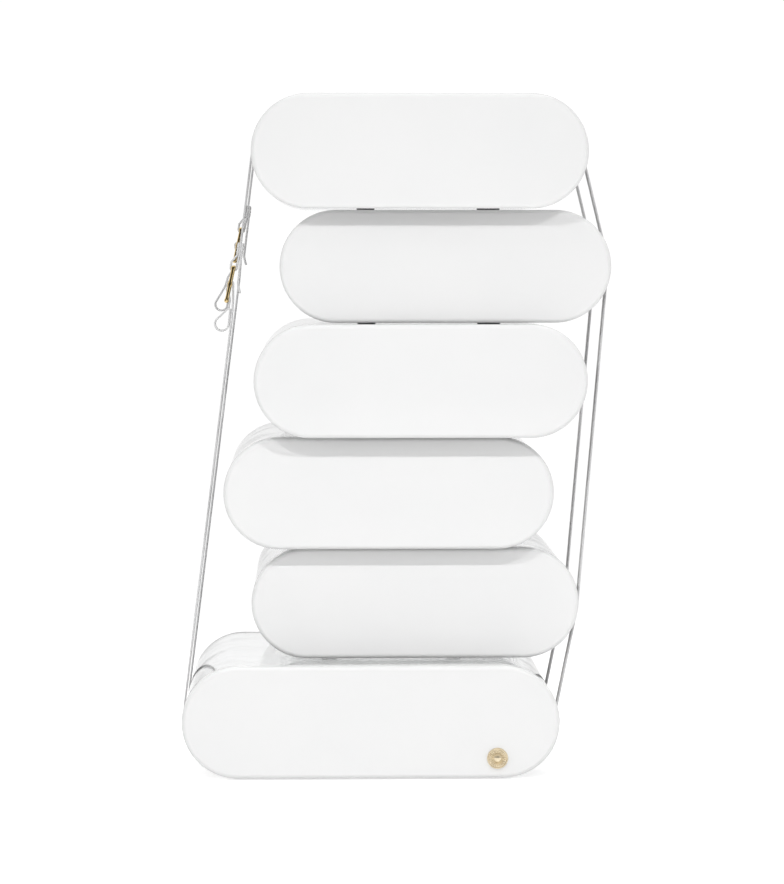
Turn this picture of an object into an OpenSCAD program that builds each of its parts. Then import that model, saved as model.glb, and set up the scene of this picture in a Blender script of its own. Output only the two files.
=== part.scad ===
// Desk organizer: six pill-shaped drawer boxes stacked off-centre and bound by two buckled straps.
// +Z is up, the drawers open towards -Y, and the origin is the middle of the footprint on the desk.

/* [Boxes] */
// Width of the drawer fronts of boxes 2 to 6
front_w = 187; // [180:1:190]
// Width of the drawer front of box 1, the base
base_front_w = 213; // [206:1:230]
// Height of every drawer front
front_h = 63.5; // [58:0.5:63.5]
// Thickness of the drawer fronts
front_t = 9; // [7:0.5:11]
// Radius of the drawer fronts' outer edges
front_edge_r = 2.5; // [1.5:0.25:3]
// How far the drawer fronts stand out past their sleeves all round
front_lip = 0.5; // [0.3:0.1:0.8]
// Length of the clear sleeves
sleeve_len = 156; // [140:1:170]
// Wall of the clear sleeves
sleeve_wall = 3; // [2.5:0.5:4]
// Distance from one box's centre to the next one up
pitch = 64; // [64:0.5:71]

/* [Stacking] */
// Sideways shift of box 2
shift_2 = 26; // [20:0.5:32]
// Sideways shift of box 3
shift_3 = 10.5; // [8:0.5:16]
// Sideways shift of box 4
shift_4 = 28; // [22:0.5:32]
// Sideways shift of box 5
shift_5 = 42.5; // [38:0.5:46]
// Sideways shift of box 6, the top one
shift_6 = 27; // [22:0.5:30]
// Setback of the front of box 1
setback_1 = 13; // [0:1:20]
// Setback of the front of box 2
setback_2 = 44; // [30:1:44]
// Setback of the front of box 3
setback_3 = 30; // [20:1:40]
// Setback of the front of box 4
setback_4 = 12; // [5:1:20]
// Setback of the front of box 5
setback_5 = 30; // [20:1:40]
// Thickness of the feet under the base
foot_h = 1.4; // [1.3:0.1:3]

/* [Drawers] */
// Wall of the drawer trays
tray_wall = 2.5; // [2:0.5:3]
// Length of the drawer trays
tray_len = 149; // [120:1:150]
// Height of the tray's rim above the box's centre
tray_rim = 6; // [0:1:10]
// Gap between a tray and its sleeve
tray_gap = 0.4; // [0.3:0.1:1]

/* [Straps] */
// Width of the straps
strap_w = 9; // [6:0.5:9]
// Thickness of the straps
strap_t = 1.1; // [0.8:0.1:1.2]
// Distance of the front strap's middle behind the front of box 6
front_strap_y = 58.5; // [58:0.5:70]
// Distance of the rear strap's middle behind the front of box 6
rear_strap_y = 140; // [120:1:150]
// Height of the front buckle's middle bar above the desk
front_buckle_z = 278; // [260:1:290]
// Height of the rear buckle's middle bar above the desk
rear_buckle_z = 300; // [290:1:310]

/* [Badge] */
// Diameter of the badge on the base's front
badge_d = 11.8; // [8:0.1:14]
// Thickness of the badge
badge_t = 1.2; // [0.8:0.1:2]

/* [Hidden] */
BOXES = 6;
ROUND = 96;
SMALL_ROUND = 48;
shifts = [0, shift_2, shift_3, shift_4, shift_5, shift_6];
setbacks = [setback_1, setback_2, setback_3, setback_4, setback_5, 0];
widths = [base_front_w, front_w, front_w, front_w, front_w, front_w];

seat_gap = 0.3;                              // from a closed drawer front to its sleeve
sleeve_h = front_h - 2 * front_lip;
end_r = sleeve_h / 2;
bore_h = sleeve_h - 2 * sleeve_wall;
panel_t = 3;
glue_gap = 0.05;
back_edge_r = 0.6;

pad_d = 9;
pad_h = pitch - sleeve_h;
pad_x = 36;
pad_rows = [72, 150];
foot_d = 12;
foot_x = 62;
foot_rows = [38, 165];

fit = 0.05;                                  // how far the straps stay off what they touch
wrap_margin = fit + strap_t / 2;
hug = strap_t + fit;                         // between the middles of two layers of strap
arc_step = 5;

bar_r = 1.1;
bar_step = 9.5;
bar_tilt = 5;
stand_off = 2.4;
wrap_r = bar_r + wrap_margin;
rail_t = 2;
rail_w = 1.6;
knuckle_d = rail_t + 0.6;
slot_w = strap_w + 1.2;
buckle_w = slot_w + 2 * rail_w;
bar_len = buckle_w - 0.8;
seam_low = 17;
seam_top = 24;
strap_rise = -20;
loop_w = strap_w - 2;

// The footprint's middle, so that the whole object sits centred on the origin.
reach_left = min([for (i = [0:BOXES - 1]) shifts[i] - sleeve_w(i) / 2]) - hug;
reach_right = max([for (i = [0:BOXES - 1]) shifts[i] + sleeve_w(i) / 2]) + hug;
unit_len = front_t + seat_gap + sleeve_len;
mid_x = (reach_left + reach_right) / 2;
mid_y = (max(setbacks) + unit_len) / 2;

function sleeve_w(i) = widths[i] - 2 * front_lip;
function box_x(i) = shifts[i] - mid_x;
function box_y(i) = setbacks[i] - mid_y;
function box_z(i) = foot_h + end_r + i * pitch;
function end_x(i, side) = box_x(i) + side * (sleeve_w(i) / 2 - end_r);

// Points along an arc, from one angle to another.
function arc(center, r, from, to) = let(
    steps = max(1, ceil(abs(to - from) / arc_step))
) [for (k = [0:steps]) let(a = from + (to - from) * k / steps) center + r * [cos(a), sin(a)]];

// The round ends that a taut strap touches, clockwise from the top left, found by gift wrapping.
ends = [for (i = [0:BOXES - 1], side = [-1, 1]) [end_x(i, side), box_z(i)]];
function next_corner(p) = [
    for (q = ends)
        if (q != p && max([for (r = ends) cross(q - p, r - p)]) < 0.001) q
][0];
function corners_from(p, found) = p == found[0] ? found : corners_from(next_corner(p), concat(found, [p]));
run_low = [end_x(0, -1), box_z(0)];
run_high = [end_x(BOXES - 1, -1), box_z(BOXES - 1)];
corners = corners_from(next_corner(run_high), [run_high]);

// The outward direction of a straight run, and its angle.
function outward(p, q) = [p.y - q.y, q.x - p.x] / norm(q - p);
function angle_of(d) = atan2(d.y, d.x);

// The strap's way round one round end, between the runs before and after it.
function round_end(k) = let(
    count = len(corners),
    p = corners[k],
    from = angle_of(outward(corners[(k + count - 1) % count], p)),
    to = angle_of(outward(p, corners[(k + 1) % count]))
) arc(p, end_r + wrap_margin, from, to > from ? to - 360 : to);
way_round = [for (k = [0:len(corners) - 1], p = round_end(k)) p];

// Places a point given as [inwards, upwards] from the strap's own line, at a height on the left run.
run_out = outward(run_low, run_high);
run_dir = (run_high - run_low) / norm(run_high - run_low);
run_start = run_low + run_out * (end_r + wrap_margin);
run_angle = angle_of(run_dir) - 90;
function on_run(z, p) =
    run_start + run_dir * ((z - run_start.y) / run_dir.y + p.y) - run_out * p.x;

// The buckle's three bars, as [inwards, upwards] from the strap's own line.
bars = [for (k = [0:2]) [-stand_off - k * bar_step * tan(bar_tilt), (1 - k) * bar_step]];

// The sewn end turns up round the top bar. The free end goes over the middle bar and in behind the
// low one, and leans out a little below it.
turn_rise = 3;
pass_in = [-0.4, 0];
over_from = -7;
over_to = 195;
tuck = bars[2] + [wrap_r + 0.1, 0];
free_tip = tuck + [-0.35, -3.5];
sewn_end = concat(
    [[-hug, seam_top], [-hug, seam_low], bars[0] + [-wrap_r, turn_rise]],
    arc(bars[0], wrap_r, 180, 360),
    [[0, seam_low]]
);
free_end = concat(
    [[0, strap_rise], [0, bars[2].y] + pass_in],
    arc(bars[1], wrap_r, over_from, over_to),
    [tuck, free_tip]
);

// Where the pull loops hang: the points of each one's stem, and the middle of its round drop.
front_drop = [-5.2, -23.1];
front_drop_r = 3.9;
rear_stem = [[-4.4, -15], [-6.9, -19.5], [-7.8, -25]];
rear_drop = [-8.8, -36.2];
rear_drop_r = 3.6;

// Where the loose lower ends of the backing tabs curl to, and how far above that the curl begins.
front_tab_tip = [3, -4.5];
rear_tab_tip = [3, -11];
tab_straight = 8;
tab_ease = [0.3, 4];

// A pill outline centred on the origin.
module pill(w, h) {
    square([w - h, h], center = true);
    for (side = [-1, 1])
        translate([side * (w - h) / 2, 0])
            circle(d = h, $fn = ROUND);
}

// Raises an outline drawn in X and Z into a bar along Y, from y to y + depth.
module along_y(y, depth) {
    translate([0, y + depth, 0])
        rotate([90, 0, 0])
            linear_extrude(depth)
                children();
}

module at_box(i) {
    translate([box_x(i), box_y(i), box_z(i)])
        children();
}

// Half of a drawer front's section, from its middle line out to its rounded edge.
module front_section(reach) {
    square([reach - front_edge_r, front_t - back_edge_r]);
    square([reach - front_edge_r, front_t]);
    translate([0, front_edge_r])
        square([reach - back_edge_r, front_t - front_edge_r]);
    translate([0, front_edge_r])
        square([reach, front_t - front_edge_r - back_edge_r]);
    translate([reach - front_edge_r, front_edge_r])
        circle(r = front_edge_r, $fn = SMALL_ROUND);
    translate([reach - back_edge_r, front_t - back_edge_r])
        circle(r = back_edge_r, $fn = SMALL_ROUND);
}

module drawer_front(i) {
    straight = widths[i] - front_h;
    at_box(i) color("white") union() {
        rotate([0, 90, 0])
            translate([0, 0, -straight / 2])
                linear_extrude(straight) {
                    front_section(front_h / 2);
                    mirror([1, 0])
                        front_section(front_h / 2);
                }
        for (side = [-1, 1])
            translate([side * straight / 2, 0, 0])
                rotate([-90, 0, 0])
                    rotate([0, 0, -90 * side])
                        rotate_extrude(angle = 180, $fn = ROUND)
                            front_section(front_h / 2);
    }
}

module sleeve(i) {
    at_box(i) color([0.9, 0.93, 0.94, 0.35])
        along_y(front_t + seat_gap, sleeve_len)
            difference() {
                pill(sleeve_w(i), sleeve_h);
                pill(sleeve_w(i) - 2 * sleeve_wall, bore_h);
            }
}

module rear_panel(i) {
    trim = sleeve_wall + glue_gap;
    at_box(i) color([0.9, 0.93, 0.94, 0.35])
        along_y(unit_len - panel_t, panel_t)
            pill(sleeve_w(i) - 2 * trim, sleeve_h - 2 * trim);
}

module drawer_tray(i) {
    tray_w = sleeve_w(i) - 2 * (sleeve_wall + tray_gap);
    tray_h = bore_h - 2 * tray_gap;
    at_box(i) color([0.9, 0.93, 0.94, 0.35])
        difference() {
            along_y(front_t, tray_len)
                intersection() {
                    pill(tray_w, tray_h);
                    translate([-tray_w / 2, -tray_h / 2])
                        square([tray_w, tray_h / 2 + tray_rim]);
                }
            along_y(front_t + tray_wall, tray_len - 2 * tray_wall)
                pill(tray_w - 2 * tray_wall, tray_h - 2 * tray_wall);
        }
}

// Four pads between box i and the one above it, where both have flat walls.
module stacking_pads(i) {
    color([0.08, 0.08, 0.08])
        for (side = [-1, 1], row = pad_rows)
            translate([
                (box_x(i) + box_x(i + 1)) / 2 + side * pad_x,
                row - mid_y,
                box_z(i) + end_r
            ])
                cylinder(d = pad_d, h = pad_h, $fn = SMALL_ROUND);
}

module base_feet() {
    color([0.08, 0.08, 0.08])
        for (side = [-1, 1], row = foot_rows)
            translate([box_x(0) + side * foot_x, row - mid_y, 0])
                cylinder(d = foot_d, h = foot_h, $fn = SMALL_ROUND);
}

module badge() {
    rim = 0.8;
    rim_h = 0.35;
    ring_r = badge_d / 2 - 2 * rim;
    badge_x = 71.2;
    badge_z = -20.3;
    at_box(0) color([0.83, 0.68, 0.38])
        translate([badge_x, 0, badge_z])
            rotate([90, 0, 0])
                difference() {
                    cylinder(d = badge_d, h = badge_t, $fn = ROUND);
                    translate([0, 0, badge_t - rim_h])
                        difference() {
                            cylinder(r = badge_d / 2 - rim, h = 2 * rim_h, $fn = ROUND);
                            translate([0, 0, -rim_h])
                                cylinder(r = ring_r, h = 4 * rim_h, $fn = ROUND);
                        }
                }
}

// A band of the straps' thickness along a path of points.
module band(path) {
    last = len(path) - 1;
    dirs = [for (k = [0:last]) path[min(k + 1, last)] - path[max(k - 1, 0)]];
    sides = [for (d = dirs) [-d.y, d.x] / norm(d) * strap_t / 2];
    polygon(concat(
        [for (k = [0:last]) path[k] + sides[k]],
        [for (k = [last:-1:0]) path[k] - sides[k]]
    ));
}

module strap(y, z) {
    color([0.95, 0.95, 0.94])
        along_y(y - mid_y - strap_w / 2, strap_w)
            band(concat(
                [for (p = sewn_end) on_run(z, p)],
                way_round,
                [for (p = free_end) on_run(z, p)]
            ));
}

// The pull on the strap's free end: it goes on from the tip in the same line, down a stem and round a
// drop, and its tail comes back beside the stem's foot, where it is stitched.
module pull_loop(y, z, stem, drop, drop_r) {
    tail_drop = 1;
    lead = free_tip + (free_tip - tuck) / norm(free_tip - tuck);
    foot = len(stem) > 0 ? stem[len(stem) - 1] : free_tip;
    reach = norm(foot - drop);
    facing = angle_of(foot - drop);
    spread = acos(drop_r / reach);
    path = concat(
        [free_tip, lead],
        stem,
        arc(drop, drop_r, facing + spread, facing + 360 - spread),
        [foot + [hug, -tail_drop]]
    );
    color([0.95, 0.95, 0.94])
        along_y(y - mid_y - loop_w / 2, loop_w)
            band([for (p = path) on_run(z, p)]);
}

// The tab stitched behind the seam, which keeps the buckle off the boxes.
module backing_tab(y, z, tip) {
    path = [[hug, seam_top], [hug, tip.y + tab_straight], [hug, tip.y] + tab_ease, tip];
    color([0.95, 0.95, 0.94])
        along_y(y - mid_y - strap_w / 2, strap_w)
            band([for (p = path) on_run(z, p)]);
}

// A three-bar slide: two side rails and the bars that the strap turns round.
module buckle(y, z) {
    color([0.83, 0.68, 0.38]) {
        for (side = [-1, 1])
            along_y(y - mid_y + side * (slot_w + rail_w) / 2 - rail_w / 2, rail_w)
                rail_outline(z);
        for (bar = bars)
            along_y(y - mid_y - bar_len / 2, bar_len)
                translate(on_run(z, bar))
                    circle(r = bar_r, $fn = SMALL_ROUND);
    }
}

module rail_outline(z) {
    translate(on_run(z, bars[1]))
        rotate(run_angle - bar_tilt) {
            square([rail_t, norm(bars[0] - bars[2])], center = true);
            for (side = [-1, 1])
                translate([0, side * norm(bars[0] - bars[1])])
                    circle(d = knuckle_d, $fn = SMALL_ROUND);
        }
}

for (i = [0:BOXES - 1]) {
    sleeve(i);
    rear_panel(i);
    drawer_front(i);
    drawer_tray(i);
}
for (i = [0:BOXES - 2])
    stacking_pads(i);
base_feet();
badge();
strap(front_strap_y, front_buckle_z);  // front_strap
strap(rear_strap_y, rear_buckle_z);  // rear_strap
pull_loop(front_strap_y, front_buckle_z, [], front_drop, front_drop_r);  // front_pull_loop
pull_loop(rear_strap_y, rear_buckle_z, rear_stem, rear_drop, rear_drop_r);  // rear_pull_loop
backing_tab(front_strap_y, front_buckle_z, front_tab_tip);  // front_backing_tab
backing_tab(rear_strap_y, rear_buckle_z, rear_tab_tip);  // rear_backing_tab
buckle(front_strap_y, front_buckle_z);  // front_buckle
buckle(rear_strap_y, rear_buckle_z);  // rear_buckle
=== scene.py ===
"""Looks of the desk organizer: six clear drawer boxes with glossy white fronts, bound by two straps.

Lengths are in metres. The fronts face -Y, and each piece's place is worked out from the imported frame.
"""

import math

import bmesh
import bpy
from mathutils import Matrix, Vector


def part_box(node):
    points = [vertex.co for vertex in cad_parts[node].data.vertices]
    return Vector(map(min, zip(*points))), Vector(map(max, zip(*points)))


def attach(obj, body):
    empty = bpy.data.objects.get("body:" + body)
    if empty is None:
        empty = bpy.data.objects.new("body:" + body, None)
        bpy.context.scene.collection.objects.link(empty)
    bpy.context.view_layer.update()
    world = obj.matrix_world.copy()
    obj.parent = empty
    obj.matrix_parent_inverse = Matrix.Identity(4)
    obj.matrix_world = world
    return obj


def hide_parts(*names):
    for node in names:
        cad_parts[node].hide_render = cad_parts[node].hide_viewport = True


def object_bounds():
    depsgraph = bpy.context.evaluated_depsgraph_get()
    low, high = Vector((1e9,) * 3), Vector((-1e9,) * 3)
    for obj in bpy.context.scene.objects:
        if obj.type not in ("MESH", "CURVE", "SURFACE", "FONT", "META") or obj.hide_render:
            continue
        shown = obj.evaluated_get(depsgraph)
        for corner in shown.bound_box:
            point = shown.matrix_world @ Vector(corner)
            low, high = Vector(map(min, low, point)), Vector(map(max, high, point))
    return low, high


MM = 0.001
BOXES = 6
STRAPS = ("front", "rear")

# Edges and faces
WELD = 0.001 * MM
POLISHED_EDGE = 0.35 * MM
PAD_EDGE = 0.25 * MM
BEVEL_SEGMENTS = 3
SHARP_FROM = math.radians(40)
LEATHER_FACE, EDGE_FACE = 0, 1

# Straps and loops. The first four sizes repeat the ones in the part's source.
STRAP_W = 9 * MM
STRAP_T = 1.1 * MM
LOOP_W = 7 * MM
LAYER_GAP = 0.05 * MM
END_TURN = math.radians(60)
END_MATCH = 0.1 * STRAP_T
SIDE_FACING = 0.5
EDGE_R = 0.3 * MM
EDGE_R_STEPS = 3
CREASE_IN = 1.1 * MM
CREASE_W = 0.16 * MM
CREASE_DEPTH = 0.1 * MM
LOOP_PARTS = 2
TAB_PARTS = 8

# Stitches
STITCH_LEN = 1.5 * MM
STITCH_STEP = 1.9 * MM
STITCH_R = 0.2 * MM
STITCH_IN = 1 * MM
STITCH_FROM_EDGE = 1.5 * CREASE_IN
STITCH_BULGE = 1.1 * STITCH_R
STITCH_SINK = 0.5 * STITCH_R
STITCH_TAPER = 0.45
STITCH_RINGS = 6
STITCH_SIDES = 8

# Buckles. These sizes repeat the ones in the part's source, but for the edge, waist and counts.
SEAM_LOW = 17 * MM
BAR_STEP = 9.5 * MM
BAR_TILT = math.radians(5)
STAND_OFF = 2.4 * MM
BAR_R = 1.1 * MM
BAR_WAIST = 0.05
BAR_RINGS = 8
BAR_SIDES = 32
RAIL_T = 2 * MM
RAIL_W = 1.6 * MM
KNUCKLE_R = 1.3 * MM
RAIL_EDGE = 0.72 * MM
RAIL_STEPS = 40
CAP_STEPS = 14
EDGE_STEPS = 6

# Badge. The four places are shares of its radius, and the levels are shares of its relief.
DOME_TO = 0.32
RAYS_FROM = 0.38
RAYS_TO = 0.8
RIM_FROM = 0.88
BADGE_SLOPE = 0.008
BADGE_BASE = 0.25
INNER_GROOVE = 0.3
OUTER_GROOVE = 0.25
RAY_FOOT, RAY_RISE, RAY_SHARPNESS = 0.42, 0.4, 1.5
DOME_FOOT, DOME_RISE = 0.55, 0.4
RIM_DROP = 0.35
RAYS = 24
BADGE_RINGS = 40
BADGE_SIDES = 192
BADGE_SHARP_FROM = math.radians(55)

# Clear walls: the share of the light that each face lets through
CLEARNESS = 0.95

# Floor and backdrop
FLOOR_TONE = 0.9
FLOOR_GLOW = 0.6
BACKDROP_GLOW = 1.03
FLOOR_ENDS = (0.25, 0.7)
BOUNCE = 0.7
STUDIO_HALF_W = 4.0
STUDIO_NEAR, STUDIO_FAR = -4.0, 2.4
STUDIO_HEIGHT = 4.0
STUDIO_R = 1.2
STUDIO_STEPS = 16

# World
GLOSS_SHADE = 0.24
SURROUND = 0.36
ROOM_AHEAD = (-0.8, -0.4)
ROOM_HEIGHT = (0.1, 0.4)
ROOM_LIGHT = 0.04

# Lamps. A fill is its name, its place across and behind the fronts' plane, its height and its watts.
OVERHEAD_W = 8
OVERHEAD_HEIGHT = 1.9
OVERHEAD_SIZE = 1.6
FILLS = (
    ("fill_front", (0, -0.7), 0.15, 1.5),
    ("fill_left", (-0.9, -0.45), 0.35, 1.6),
    ("fill_right", (0.9, -0.45), 0.35, 1.7),
    ("fill_back", (0, 1.3), 0.35, 5.0),
)
FILL_SIZE = 0.9
KEY_W = 1.87
KEY_SIZE = 0.02
KEY_SIDE = 0.11
KEY_AHEAD = 0.32
KEY_HEIGHT = 0.43

# Camera. The eye's place is from the middle of the top front.
LENS = 128.05
SENSOR_W = 36
EYE_LEFT = 0.0622
EYE_AHEAD = 1.74
EYE_BELOW = 0.05
AIM = (0.0268, 1.0, -0.0638)

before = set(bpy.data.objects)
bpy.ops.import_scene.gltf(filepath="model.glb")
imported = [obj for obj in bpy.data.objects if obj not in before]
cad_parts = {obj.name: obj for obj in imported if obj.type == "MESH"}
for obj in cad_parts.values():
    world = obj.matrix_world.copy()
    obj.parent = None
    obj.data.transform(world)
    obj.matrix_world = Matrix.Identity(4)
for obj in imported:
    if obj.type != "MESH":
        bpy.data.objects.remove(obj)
cad_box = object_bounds()


# ---------------------------------------------------------------- materials

def new_material(name):
    """A material with its node tree and its Principled shader."""
    material = bpy.data.materials.new(name)
    material.use_nodes = True
    tree = material.node_tree
    return material, tree, tree.nodes["Principled BSDF"]


def settings(shader, **values):
    """Sets sockets of a shader, with underscores for the spaces in their names."""
    for name, value in values.items():
        shader.inputs[name.replace("_", " ")].default_value = value


def object_coordinates(tree, stretch=(1, 1, 1)):
    """Places on the object, in metres, stretched along the axes."""
    source = tree.nodes.new("ShaderNodeTexCoord")
    mapping = tree.nodes.new("ShaderNodeMapping")
    mapping.inputs["Scale"].default_value = stretch
    tree.links.new(source.outputs["Object"], mapping.inputs["Vector"])
    return mapping.outputs["Vector"]


def noise(tree, feature, detail, stretch=(1, 1, 1)):
    """Noise whose features are about that many metres across."""
    node = tree.nodes.new("ShaderNodeTexNoise")
    node.inputs["Scale"].default_value = 1 / feature
    node.inputs["Detail"].default_value = detail
    tree.links.new(object_coordinates(tree, stretch), node.inputs["Vector"])
    return node.outputs["Fac"]


def cells(tree, feature):
    """Smoothed distance from the nearest point of a random scatter about that many metres apart."""
    node = tree.nodes.new("ShaderNodeTexVoronoi")
    node.feature = "SMOOTH_F1"
    node.inputs["Scale"].default_value = 1 / feature
    tree.links.new(object_coordinates(tree), node.inputs["Vector"])
    return node.outputs["Distance"]


def ranged(tree, value, low, high, at=(0.3, 0.7)):
    """A value that runs from low to high as the given one runs between the two in at."""
    node = tree.nodes.new("ShaderNodeMapRange")
    for socket, number in zip(("From Min", "From Max", "To Min", "To Max"), (*at, low, high)):
        node.inputs[socket].default_value = number
    tree.links.new(value, node.inputs["Value"])
    return node.outputs["Result"]


def blend_colours(tree, value, low, high, at=(0.3, 0.7)):
    """A colour that runs from low to high as the value runs between the two in at."""
    node = tree.nodes.new("ShaderNodeMix")
    node.data_type = "RGBA"
    colours = [s for s in node.inputs if s.type == "RGBA"]
    colours[0].default_value = (*low, 1)
    colours[1].default_value = (*high, 1)
    tree.links.new(ranged(tree, value, 0, 1, at), node.inputs["Factor"])
    return [s for s in node.outputs if s.type == "RGBA"][0]


def add(tree, first, second, share=1.0):
    """first plus share times second."""
    node = tree.nodes.new("ShaderNodeMath")
    node.operation = "MULTIPLY_ADD"
    node.inputs[1].default_value = share
    tree.links.new(second, node.inputs[0])
    tree.links.new(first, node.inputs[2])
    return node.outputs["Value"]


def times(tree, first, second):
    """first times second."""
    node = tree.nodes.new("ShaderNodeMath")
    node.operation = "MULTIPLY"
    tree.links.new(first, node.inputs[0])
    tree.links.new(second, node.inputs[1])
    return node.outputs["Value"]


def bump(tree, shader, height, depth):
    """Relief of that depth in metres, from a height that runs from 0 to 1."""
    node = tree.nodes.new("ShaderNodeBump")
    node.inputs["Strength"].default_value = 1.0
    node.inputs["Distance"].default_value = depth
    tree.links.new(height, node.inputs["Height"])
    tree.links.new(node.outputs["Normal"], shader.inputs["Normal"])


def white_lacquer():
    """Polished opaque white acrylic: a faint unevenness in tone and a nearly flat gloss coat."""
    material, tree, shader = new_material("white_lacquer")
    settings(shader, Coat_Weight=0.5, Coat_Roughness=0.04, Coat_IOR=1.5, IOR=1.49)
    tone = blend_colours(tree, noise(tree, 60 * MM, 2), (0.868, 0.87, 0.87), (0.884, 0.884, 0.882))
    tree.links.new(tone, shader.inputs["Base Color"])
    smudges = noise(tree, 45 * MM, 2)
    tree.links.new(ranged(tree, smudges, 0.22, 0.25, (0, 1)), shader.inputs["Roughness"])
    bump(tree, shader, noise(tree, 6 * MM, 1), 0.004 * MM)
    return material


def let_light_through(tree, shader):
    """Lets light from lamps and from matt surfaces pass the clear walls nearly undimmed."""
    open_side = tree.nodes.new("ShaderNodeBsdfTransparent")
    open_side.inputs["Color"].default_value = (CLEARNESS, CLEARNESS, CLEARNESS, 1)
    path = tree.nodes.new("ShaderNodeLightPath")
    mix = tree.nodes.new("ShaderNodeMixShader")
    either = add(tree, path.outputs["Is Shadow Ray"], path.outputs["Is Diffuse Ray"])
    tree.links.new(either, mix.inputs["Fac"])
    tree.links.new(shader.outputs["BSDF"], mix.inputs[1])
    tree.links.new(open_side.outputs["BSDF"], mix.inputs[2])
    tree.links.new(mix.outputs["Shader"], tree.nodes["Material Output"].inputs["Surface"])


def clear_acrylic():
    """Clear polished acrylic: light handling marks, and walls that aren't perfectly flat."""
    material, tree, shader = new_material("clear_acrylic")
    settings(shader, Base_Color=(0.972, 0.976, 0.977, 1), Transmission_Weight=1.0, IOR=1.49)
    marks = noise(tree, 14 * MM, 6)
    tree.links.new(ranged(tree, marks, 0.0, 0.035, (0.45, 0.75)), shader.inputs["Roughness"])
    bump(tree, shader, noise(tree, 30 * MM, 1), 0.05 * MM)
    let_light_through(tree, shader)
    return material


def strap_leather():
    """Smooth white coated leather: a fine pebbled grain and faint handling marks."""
    material, tree, shader = new_material("strap_leather")
    settings(shader, Specular_IOR_Level=0.45)
    marks = noise(tree, 9 * MM, 5)
    tone = blend_colours(tree, marks, (0.8, 0.795, 0.78), (0.87, 0.868, 0.86))
    tree.links.new(tone, shader.inputs["Base Color"])
    grain = cells(tree, 0.55 * MM)
    tree.links.new(ranged(tree, grain, 0.42, 0.58, (0.1, 0.7)), shader.inputs["Roughness"])
    bump(tree, shader, add(tree, grain, marks, 0.5), 0.05 * MM)
    return material


def strap_edge():
    """The straps' cut edges: a pale grey sealing paint laid over the fibres."""
    material, tree, shader = new_material("strap_edge")
    fibres = noise(tree, 0.9 * MM, 4)
    tone = blend_colours(tree, fibres, (0.62, 0.62, 0.625), (0.72, 0.72, 0.725))
    tree.links.new(tone, shader.inputs["Base Color"])
    tree.links.new(ranged(tree, fibres, 0.4, 0.6), shader.inputs["Roughness"])
    bump(tree, shader, fibres, 0.04 * MM)
    return material


def thread():
    """White waxed thread, twisted."""
    material, tree, shader = new_material("thread")
    twist = noise(tree, 0.25 * MM, 2)
    tone = blend_colours(tree, twist, (0.66, 0.65, 0.62), (0.84, 0.83, 0.8))
    tree.links.new(tone, shader.inputs["Base Color"])
    settings(shader, Roughness=0.55)
    bump(tree, shader, twist, 0.05 * MM)
    return material


def gold(name, dark, light, rough):
    """Polished gold plate with hairline scratches, and painted reflections: darker and lighter blotches
    in its tone that stand in for the metal's contrast.
    """
    material, tree, shader = new_material(name)
    settings(shader, Metallic=1.0)
    # Painted reflections: blotches of darker and lighter gold stand in for the dark and bright
    # reflections of polished metal.
    painted_reflection_blotches = noise(tree, 2.2 * MM, 4)
    tree.links.new(blend_colours(tree, painted_reflection_blotches, dark, light), shader.inputs["Base Color"])
    hairlines = noise(tree, 0.5 * MM, 3, stretch=(1, 1, 0.12))
    tree.links.new(ranged(tree, hairlines, *rough), shader.inputs["Roughness"])
    bump(tree, shader, hairlines, 0.006 * MM)
    return material


def pad_rubber():
    """Matt black rubber with a fine moulded texture."""
    material, tree, shader = new_material("pad_rubber")
    grain = noise(tree, 0.5 * MM, 4)
    tree.links.new(blend_colours(tree, grain, (0.018, 0.018, 0.019), (0.04, 0.04, 0.042)),
                   shader.inputs["Base Color"])
    tree.links.new(ranged(tree, grain, 0.65, 0.85), shader.inputs["Roughness"])
    bump(tree, shader, grain, 0.05 * MM)
    return material


def studio_white():
    """The pale floor, which turns further away into an evenly glowing backdrop.

    What it throws back onto the object is dimmer, and so is a share of what gloss shows of it.
    """
    material, tree, shader = new_material("studio_white")
    settings(shader, Roughness=0.9, Specular_IOR_Level=0.0, Emission_Color=(1, 1, 1, 1))
    away = tree.nodes.new("ShaderNodeVectorMath")
    away.operation = "LENGTH"
    tree.links.new(object_coordinates(tree), away.inputs[0])
    distance = away.outputs["Value"]
    paint = blend_colours(tree, distance, (FLOOR_TONE,) * 3, (0, 0, 0), FLOOR_ENDS)
    tree.links.new(paint, shader.inputs["Base Color"])
    glow = ranged(tree, distance, FLOOR_GLOW, BACKDROP_GLOW, FLOOR_ENDS)
    tree.links.new(glow, shader.inputs["Emission Strength"])
    dim = tree.nodes.new("ShaderNodeBsdfDiffuse")
    dim.inputs["Color"].default_value = (BOUNCE, BOUNCE, BOUNCE, 1)
    path = tree.nodes.new("ShaderNodeLightPath")
    mix = tree.nodes.new("ShaderNodeMixShader")
    either = add(tree, path.outputs["Is Diffuse Ray"], path.outputs["Is Glossy Ray"], GLOSS_SHADE)
    tree.links.new(either, mix.inputs["Fac"])
    tree.links.new(shader.outputs["BSDF"], mix.inputs[1])
    tree.links.new(dim.outputs["BSDF"], mix.inputs[2])
    tree.links.new(mix.outputs["Shader"], tree.nodes["Material Output"].inputs["Surface"])
    return material


LACQUER = white_lacquer()
ACRYLIC = clear_acrylic()
LEATHER = strap_leather()
EDGE = strap_edge()
THREAD = thread()
BUCKLE_GOLD = gold("buckle_gold", (0.72, 0.52, 0.22), (0.92, 0.72, 0.38), (0.05, 0.14))
BADGE_GOLD = gold("badge_gold", (0.66, 0.55, 0.37), (0.8, 0.7, 0.52), (0.26, 0.38))
RUBBER = pad_rubber()


# ---------------------------------------------------------------- frame parts

def finish_node(name, material, edge=0.0):
    """Gives a CAD node its material and, where edge is set, polished round edges of that radius."""
    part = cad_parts[name]
    part.data.materials.clear()
    part.data.materials.append(material)
    if edge:
        bevel = part.modifiers.new("polished_edges", "BEVEL")
        bevel.width = edge
        bevel.segments = BEVEL_SEGMENTS
        bevel.limit_method = "ANGLE"
        bevel.angle_limit = SHARP_FROM
        bevel.harden_normals = True


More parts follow.
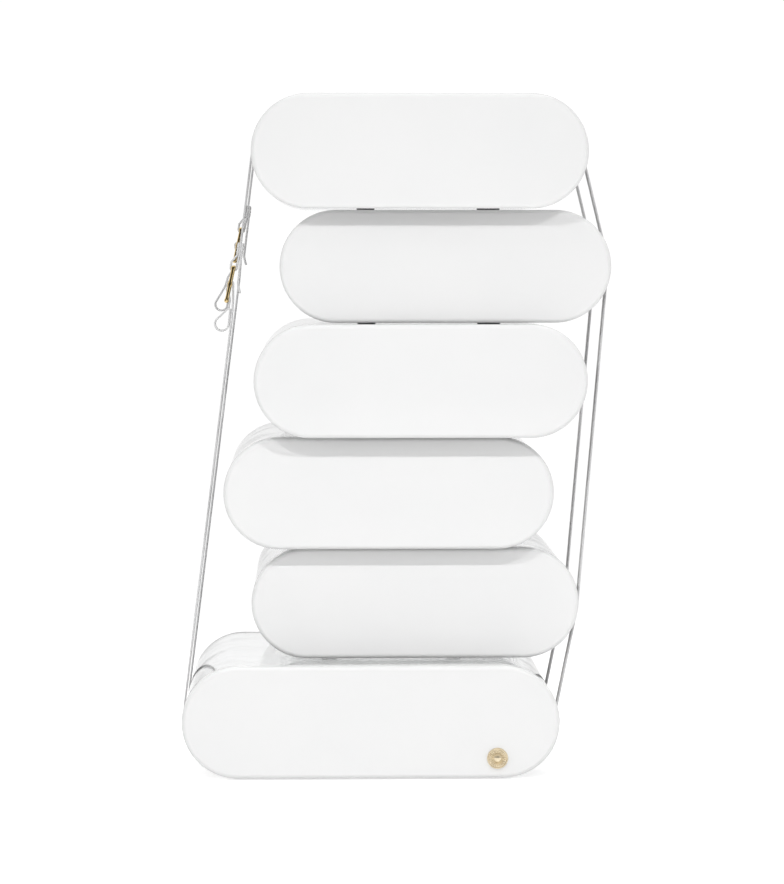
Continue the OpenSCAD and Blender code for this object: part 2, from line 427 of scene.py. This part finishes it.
def finish_boxes():
    """The fronts, whose edges are round in CAD, the clear parts behind them, the pads and the feet."""
    for number in range(1, BOXES + 1):
        finish_node(f"drawer_front_{number}", LACQUER)
        for part in ("sleeve", "rear_panel", "drawer_tray"):
            finish_node(f"{part}_{number}", ACRYLIC, POLISHED_EDGE)
    for number in range(1, BOXES):
        finish_node(f"stacking_pads_{number}", RUBBER, PAD_EDGE)
    finish_node("base_feet", RUBBER, PAD_EDGE)


finish_boxes()


# ---------------------------------------------------------------- pieces of the straps

def outline_of(node):
    """The outline of a band's flat side, as points in X and Z in order round it."""
    mesh = bmesh.new()
    mesh.from_mesh(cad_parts[node].data)
    bmesh.ops.remove_doubles(mesh, verts=mesh.verts, dist=WELD)
    side = min(v.co.y for v in mesh.verts)
    rim = [
        edge for edge in mesh.edges
        if all(v.co.y - side < WELD for v in edge.verts)
        and any(abs(face.normal.y) < SIDE_FACING for face in edge.link_faces)
    ]
    neighbours = {}
    for edge in rim:
        first, second = edge.verts
        neighbours.setdefault(first, []).append(second)
        neighbours.setdefault(second, []).append(first)
    start = rim[0].verts[0]
    walk = [start, neighbours[start][0]]
    while walk[-1] != start:
        walk.append(next(v for v in neighbours[walk[-1]] if v != walk[-2]))
    points = [Vector((v.co.x, v.co.z)) for v in walk[:-1]]
    mesh.free()
    return points


def band_path(node):
    """The middle line of a band from its higher end, found by pairing its outline's two long sides."""
    points = outline_of(node)
    count = len(points)

    def turn(k):
        before = points[k] - points[k - 1]
        after = points[(k + 1) % count] - points[k]
        return abs(before.angle_signed(after))

    def is_end(k):
        after = (k + 1) % count
        is_thick = abs((points[after] - points[k]).length - STRAP_T) < END_MATCH
        return is_thick and turn(k) > END_TURN and turn(after) > END_TURN

    first, second = [k for k in range(count) if is_end(k)]
    there = [points[k] for k in range(first + 1, second + 1)]
    back = [points[k % count] for k in range(first + count, second, -1)]
    path = [(a + b) / 2 for a, b in zip(there, back)]
    return path if path[0].y > path[-1].y else path[::-1]


def smooth_path(points, parts):
    """The same line with points added on a smooth curve through it."""
    curve = []
    for k in range(len(points) - 1):
        before = points[max(k - 1, 0)]
        start, end = points[k], points[k + 1]
        after = points[min(k + 2, len(points) - 1)]
        for part in range(parts):
            t = part / parts
            leave = (end - before) / 2
            arrive = (after - start) / 2
            curve.append(
                start * (2 * t**3 - 3 * t**2 + 1)
                + leave * (t**3 - 2 * t**2 + t)
                + end * (3 * t**2 - 2 * t**3)
                + arrive * (t**3 - t**2)
            )
    return curve + [points[-1]]


def band_section(width):
    """Half of a strap's section: from edge to edge over one face, with a crease near each edge.

    Each point is (across, out), and the other half mirrors it.
    """
    half, rise = width / 2, STRAP_T / 2
    left = [(-half, 0.0)]
    for step in range(1, EDGE_R_STEPS + 1):
        angle = math.pi / 2 * step / EDGE_R_STEPS
        across = -half + EDGE_R * (1 - math.cos(angle))
        left.append((across, rise - EDGE_R + EDGE_R * math.sin(angle)))
    crease = half - CREASE_IN
    left.append((-crease - CREASE_W, rise))
    left.append((-crease, rise - CREASE_DEPTH))
    left.append((-crease + CREASE_W, rise))
    return left + [(0.0, rise)] + [(-across, out) for across, out in reversed(left)]


def tangent(path, k):
    """The way a path runs at its point k."""
    return (path[min(k + 1, len(path) - 1)] - path[max(k - 1, 0)]).normalized()


def in_space(point, y):
    """A point of the XZ plane, moved to y."""
    return Vector((point.x, y, point.y))


def turns(count):
    """That many evenly spaced angles round a circle."""
    return [2 * math.pi * k / count for k in range(count)]


def join_rings(mesh, rings):
    """Makes the faces between rings of vertices and one cap at each end, and returns both."""
    sides = []
    for before, after in zip(rings, rings[1:]):
        for k in range(len(before)):
            nxt = (k + 1) % len(before)
            sides.append(mesh.faces.new((before[k], before[nxt], after[nxt], after[k])))
    caps = [mesh.faces.new(rings[0]), mesh.faces.new(rings[-1])]
    return sides, caps


def new_piece(name, mesh, materials, sharp_from=SHARP_FROM):
    """Turns a bmesh into an object with its materials, smooth but for its sharper edges."""
    bmesh.ops.recalc_face_normals(mesh, faces=mesh.faces)
    data = bpy.data.meshes.new(name)
    mesh.to_mesh(data)
    mesh.free()
    for material in materials:
        data.materials.append(material)
    data.shade_smooth()
    data.set_sharp_from_angle(angle=sharp_from)
    piece = bpy.data.objects.new(name, data)
    bpy.context.scene.collection.objects.link(piece)
    return piece


def paint_edges(section, width, sides, caps):
    """Gives a band's round edges and its two ends the edge paint, and leaves leather elsewhere."""
    painted = width / 2 - EDGE_R / 2 - WELD
    for index, face in enumerate(sides):
        near = section[index % len(section)][0]
        far = section[(index + 1) % len(section)][0]
        face.material_index = EDGE_FACE if min(abs(near), abs(far)) > painted else LEATHER_FACE
    for cap in caps:
        cap.material_index = EDGE_FACE


def swept_band(name, node, width, parts=1):
    """A strap piece in place of its CAD node: a creased band with painted edges and ends."""
    low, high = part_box(node)
    middle_y = (low[1] + high[1]) / 2
    path = smooth_path(band_path(node), parts)
    upper = band_section(width)
    section = upper + [(across, -out) for across, out in reversed(upper[1:-1])]
    mesh = bmesh.new()
    rings = []
    for k, spot in enumerate(path):
        along = tangent(path, k)
        out_dir = Vector((-along.y, along.x))
        rings.append([
            mesh.verts.new(in_space(spot + out_dir * out, middle_y + across)) for across, out in section
        ])
    paint_edges(section, width, *join_rings(mesh, rings))
    piece = new_piece(name, mesh, (LEATHER, EDGE))
    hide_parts(node)
    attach(piece, "stack")
    return path


def add_stitch(mesh, middle, along, out):
    """One stitch: a short bulging length of thread whose ends dive into the strap."""
    across = along.cross(out)
    rings = []
    for step in range(STITCH_RINGS + 1):
        share = step / STITCH_RINGS
        reach = (share - 0.5) * STITCH_LEN
        swell = math.sin(math.pi * share)
        spot = middle + along * reach + out * (STITCH_BULGE * swell - STITCH_SINK)
        girth = STITCH_R * (1 - STITCH_TAPER * (1 - swell))
        rings.append([
            mesh.verts.new(spot + girth * (out * math.cos(a) + across * math.sin(a)))
            for a in turns(STITCH_SIDES)
        ])
    join_rings(mesh, rings)


def stitch_row(mesh, start, end, out):
    """A row of evenly spaced stitches from one point to another."""
    span = end - start
    count = max(1, round(span.length / STITCH_STEP))
    along = span.normalized()
    for k in range(count):
        add_stitch(mesh, start + span * ((k + 0.5) / count), along, out)


def box_stitch(mesh, low_end, high_end, y, half, out):
    """A box of stitches: two rows along the strap and two across it."""
    corners = [
        in_space(low_end, y - half), in_space(high_end, y - half),
        in_space(high_end, y + half), in_space(low_end, y + half),
    ]
    for k in range(4):
        stitch_row(mesh, corners[k], corners[(k + 1) % 4], out)


def stitching(which, strap_path, loop_path):
    """The thread at the strap's seam, on both faces, and where the pull loop's tail is closed."""
    low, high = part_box(f"{which}_strap")
    y = (low[1] + high[1]) / 2
    top, foot = strap_path[0], strap_path[1]
    up = (top - foot).normalized()
    inward = Vector((up.y, -up.x))
    start = foot + up * STITCH_IN
    end = top - up * STITCH_IN
    half = STRAP_W / 2 - STITCH_FROM_EDGE
    mesh = bmesh.new()
    outer = -STRAP_T / 2
    inner = 2 * (STRAP_T + LAYER_GAP) + STRAP_T / 2
    for depth, way in ((outer, -1), (inner, 1)):
        offset = inward * depth
        box_stitch(mesh, start + offset, end + offset, y, half, in_space(inward, 0) * way)
    tail = loop_path[-1]
    along = (loop_path[-1] - loop_path[-2]).normalized()
    side = Vector((-along.y, along.x))
    if (tail + side - loop_path[0]).length < (tail - side - loop_path[0]).length:
        side = -side
    seam = tail - along * STITCH_IN + side * (STRAP_T / 2)
    loop_half = half - (STRAP_W - LOOP_W) / 2
    stitch_row(
        mesh, in_space(seam, y - loop_half), in_space(seam, y + loop_half), in_space(side, 0)
    )
    piece = new_piece(f"{which}_stitching", mesh, (THREAD,))
    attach(piece, "stack")


# ---------------------------------------------------------------- buckles

def bar_places(strap_path):
    """The middles of a buckle's three bars, in X and Z, worked out from the strap's seam."""
    top, foot = strap_path[0], strap_path[1]
    up = (top - foot).normalized()
    inward = Vector((up.y, -up.x))
    middle = foot - up * SEAM_LOW + inward * (STRAP_T + LAYER_GAP)
    lean = math.tan(BAR_TILT)
    return [
        middle + up * ((1 - k) * BAR_STEP) - inward * (STAND_OFF + k * BAR_STEP * lean)
        for k in range(3)
    ]


def rail_outline(places):
    """A buckle rail's outline: a slim bar that swells to a knuckle round each of the three bars."""
    high, middle, low = places
    up = (high - low).normalized()
    side = Vector((up.y, -up.x))
    half_len = (high - low).length / 2
    right = []
    for step in range(RAIL_STEPS + 1):
        reach = half_len * (1 - 2 * step / RAIL_STEPS)
        nearest = min(abs(reach - spot) for spot in (half_len, 0, -half_len))
        swell = max(0.0, 1 - (nearest / KNUCKLE_R) ** 2)
        right.append((RAIL_T / 2 + (KNUCKLE_R - RAIL_T / 2) * swell, reach))
    cap = [math.pi * k / CAP_STEPS for k in range(1, CAP_STEPS)]
    bottom = [(KNUCKLE_R * math.cos(a), -half_len - KNUCKLE_R * math.sin(a)) for a in cap]
    outline = right + bottom
    outline += [(-across, -reach) for across, reach in outline]
    return [middle + side * across + up * reach for across, reach in outline]


def add_prism(mesh, outline, start_y, end_y, edge):
    """Raises a clockwise outline along Y, with its two rims rounded to the edge radius."""
    quarter = [math.pi / 2 * k / EDGE_STEPS for k in range(EDGE_STEPS + 1)]
    near = [(start_y + edge * (1 - math.cos(a)), edge * (1 - math.sin(a))) for a in quarter]
    far = [(start_y + end_y - y, inset) for y, inset in reversed(near)]
    rings = []
    for y, inset in near + far:
        ring = []
        for k, spot in enumerate(outline):
            ahead = outline[(k + 1) % len(outline)] - outline[k - 1]
            inward = Vector((ahead.y, -ahead.x)).normalized()
            ring.append(mesh.verts.new(in_space(spot + inward * inset, y)))
        rings.append(ring)
    join_rings(mesh, rings)


def add_bar(mesh, place, start_y, end_y):
    """A round bar along Y, a little slimmer at its middle."""
    rings = []
    for step in range(BAR_RINGS + 1):
        share = step / BAR_RINGS
        radius = BAR_R * (1 - BAR_WAIST * math.sin(math.pi * share))
        y = start_y + (end_y - start_y) * share
        rings.append([
            mesh.verts.new((place.x + radius * math.cos(a), y, place.y + radius * math.sin(a)))
            for a in turns(BAR_SIDES)
        ])
    join_rings(mesh, rings)


def buckle(which, strap_path):
    """A cast three-bar slide in place of its CAD node."""
    node = f"{which}_buckle"
    low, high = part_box(node)
    places = bar_places(strap_path)
    outline = rail_outline(places)
    mesh = bmesh.new()
    for start_y in (low[1], high[1] - RAIL_W):
        add_prism(mesh, outline, start_y, start_y + RAIL_W, RAIL_EDGE)
    for place in places:
        add_bar(mesh, place, low[1] + RAIL_W / 2, high[1] - RAIL_W / 2)
    piece = new_piece(f"{node}_cast", mesh, (BUCKLE_GOLD,))
    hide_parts(node)
    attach(piece, "stack")


# ---------------------------------------------------------------- badge

def badge_height(reach, angle):
    """The badge's relief: a raised rim, a ring of plain rays and a domed middle, with grooves between."""
    if reach > RIM_FROM:
        rim_middle = (1 + RIM_FROM) / 2
        off_middle = (reach - rim_middle) / (1 - rim_middle)
        return 1.0 - RIM_DROP * min(1.0, off_middle * off_middle)
    if reach > RAYS_TO:
        return OUTER_GROOVE
    if reach > RAYS_FROM:
        ray = 0.5 + 0.5 * math.cos(RAYS * angle)
        return RAY_FOOT + RAY_RISE * ray ** RAY_SHARPNESS
    if reach > DOME_TO:
        return INNER_GROOVE
    return DOME_FOOT + DOME_RISE * (1 - (reach / DOME_TO) ** 2)


def badge_reaches():
    """The radii of the badge's rings: evenly spaced, with a close pair at each step in its relief."""
    even = {round(k / BADGE_RINGS, 3) for k in range(1, BADGE_RINGS + 1)}
    steps = {
        edge + side for edge in (DOME_TO, RAYS_FROM, RAYS_TO, RIM_FROM)
        for side in (-BADGE_SLOPE, BADGE_SLOPE)
    }
    return sorted(even | steps)


def badge():
    """A round pressed badge with a plain pattern of rays, in place of its CAD node."""
    low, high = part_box("badge")
    centre = Vector(((low[0] + high[0]) / 2, (low[2] + high[2]) / 2))
    radius = (high[0] - low[0]) / 2
    back, depth = high[1], high[1] - low[1]
    mesh = bmesh.new()

    def ring(reach, level):
        return [
            mesh.verts.new(in_space(
                centre + radius * reach * Vector((math.cos(a), math.sin(a))),
                back - depth * level(reach, a),
            ))
            for a in turns(BADGE_SIDES)
        ]

    def relief(reach, angle):
        return BADGE_BASE + (1 - BADGE_BASE) * badge_height(reach, angle)

    def flat_back(reach, angle):
        return 0.0

    rings = [ring(reach, relief) for reach in badge_reaches()]
    rings.append(ring(1.0, flat_back))
    join_rings(mesh, rings)
    piece = new_piece("badge_pressed", mesh, (BADGE_GOLD,), BADGE_SHARP_FROM)
    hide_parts("badge")
    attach(piece, "drawer_1")


def add_pieces():
    """Both straps with their loops, tabs, stitches and buckles, and the badge."""
    for which in STRAPS:
        strap_path = swept_band(f"{which}_strap_band", f"{which}_strap", STRAP_W)
        loop_path = swept_band(f"{which}_pull_loop_band", f"{which}_pull_loop", LOOP_W, LOOP_PARTS)
        swept_band(f"{which}_backing_tab_band", f"{which}_backing_tab", STRAP_W, TAB_PARTS)
        stitching(which, strap_path, loop_path)
        buckle(which, strap_path)
    badge()


add_pieces()


# ---------------------------------------------------------------- stage

def studio():
    """A pale floor that curves up into a backdrop behind the object."""
    bend = STUDIO_FAR - STUDIO_R
    profile = [(STUDIO_NEAR, 0.0), (bend, 0.0)]
    for k in range(1, STUDIO_STEPS + 1):
        angle = math.pi / 2 * k / STUDIO_STEPS
        profile.append((bend + STUDIO_R * math.sin(angle), STUDIO_R * (1 - math.cos(angle))))
    profile.append((STUDIO_FAR, STUDIO_HEIGHT))
    mesh = bpy.data.meshes.new("studio")
    verts = [(side * STUDIO_HALF_W, y, z) for y, z in profile for side in (-1, 1)]
    faces = [(2 * k, 2 * k + 1, 2 * k + 3, 2 * k + 2) for k in range(len(profile) - 1)]
    mesh.from_pydata(verts, [], faces)
    mesh.shade_smooth()
    mesh.materials.append(studio_white())
    floor = bpy.data.objects.new("studio", mesh)
    bpy.context.scene.collection.objects.link(floor)


def aimed_lamp(name, shape, size, place, target, watts):
    """A lamp that faces a target. Only the overhead one shows, and only in reflections."""
    data = bpy.data.lights.new(name, "AREA")
    data.shape = shape
    data.size = size
    data.energy = watts
    lamp = bpy.data.objects.new(name, data)
    lamp.location = place
    lamp.rotation_euler = (Vector(target) - Vector(place)).to_track_quat("-Z", "Y").to_euler()
    lamp.visible_camera = False
    lamp.visible_glossy = name == "overhead"
    lamp.visible_transmission = False
    bpy.context.scene.collection.objects.link(lamp)
    return data


def even_with_distance(data, falloff_kind):
    """The lamp fades less with distance than a bare one, as a large source behind a mask does."""
    data.use_nodes = True
    tree = data.node_tree
    falloff = tree.nodes.new("ShaderNodeLightFalloff")
    falloff.inputs["Strength"].default_value = 1.0
    tree.links.new(falloff.outputs[falloff_kind], tree.nodes["Emission"].inputs["Strength"])


def surround():
    """A world that is white where it is seen, and dimmer where it lights the object.

    Reflections also show a dark room low in front of the object, which gives the metal contrast.
    """
    world = bpy.data.worlds.new("surround")
    world.use_nodes = True
    tree = world.node_tree
    path = tree.nodes.new("ShaderNodeLightPath")
    either = add(tree, path.outputs["Is Diffuse Ray"], path.outputs["Is Glossy Ray"], GLOSS_SHADE)
    strength = ranged(tree, either, 1.0, SURROUND, (0, 1))
    source = tree.nodes.new("ShaderNodeTexCoord")
    split = tree.nodes.new("ShaderNodeSeparateXYZ")
    tree.links.new(source.outputs["Generated"], split.inputs["Vector"])
    ahead = ranged(tree, split.outputs["Y"], 1.0, 0.0, ROOM_AHEAD)
    level = ranged(tree, split.outputs["Z"], 1.0, 0.0, ROOM_HEIGHT)
    room = times(tree, times(tree, ahead, level), path.outputs["Is Glossy Ray"])
    kept = ranged(tree, room, 1.0, ROOM_LIGHT, (0, 1))
    tree.links.new(times(tree, strength, kept), tree.nodes["Background"].inputs["Strength"])
    tree.nodes["Background"].inputs["Color"].default_value = (1, 1, 1, 1)
    return world


def lights():
    """An overhead softbox, fills all round, and two small keys high in front."""
    bpy.context.scene.world = surround()
    low, high = cad_box
    middle = Vector([(a + b) / 2 for a, b in zip(low, high)])
    above = (middle.x, middle.y, OVERHEAD_HEIGHT)
    aimed_lamp("overhead", "SQUARE", OVERHEAD_SIZE, above, middle, OVERHEAD_W)
    for name, way, height, watts in FILLS:
        place = (middle.x + way[0], low[1] + way[1], height)
        fill = aimed_lamp(name, "DISK", FILL_SIZE, place, middle, watts)
        even_with_distance(fill, "Linear")
    for name, side in (("key_left", -1), ("key_right", 1)):
        place = (middle.x + side * KEY_SIDE, low[1] - KEY_AHEAD, KEY_HEIGHT)
        key = aimed_lamp(name, "DISK", KEY_SIZE, place, (middle.x, low[1], middle.z), KEY_W)
        even_with_distance(key, "Constant")


def camera():
    """A long lens, below the top front's middle and left of it, aimed slightly right and down."""
    front_low, front_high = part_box("drawer_front_6")
    data = bpy.data.cameras.new("camera")
    data.lens = LENS
    data.sensor_width = SENSOR_W
    eye = bpy.data.objects.new("camera", data)
    eye.location = (
        (front_low[0] + front_high[0]) / 2 - EYE_LEFT,
        front_low[1] - EYE_AHEAD,
        (front_low[2] + front_high[2]) / 2 - EYE_BELOW,
    )
    eye.rotation_euler = Vector(AIM).to_track_quat("-Z", "Y").to_euler()
    bpy.context.scene.collection.objects.link(eye)
    bpy.context.scene.camera = eye
    bpy.context.scene.view_settings.view_transform = "Standard"


studio()
lights()
camera()
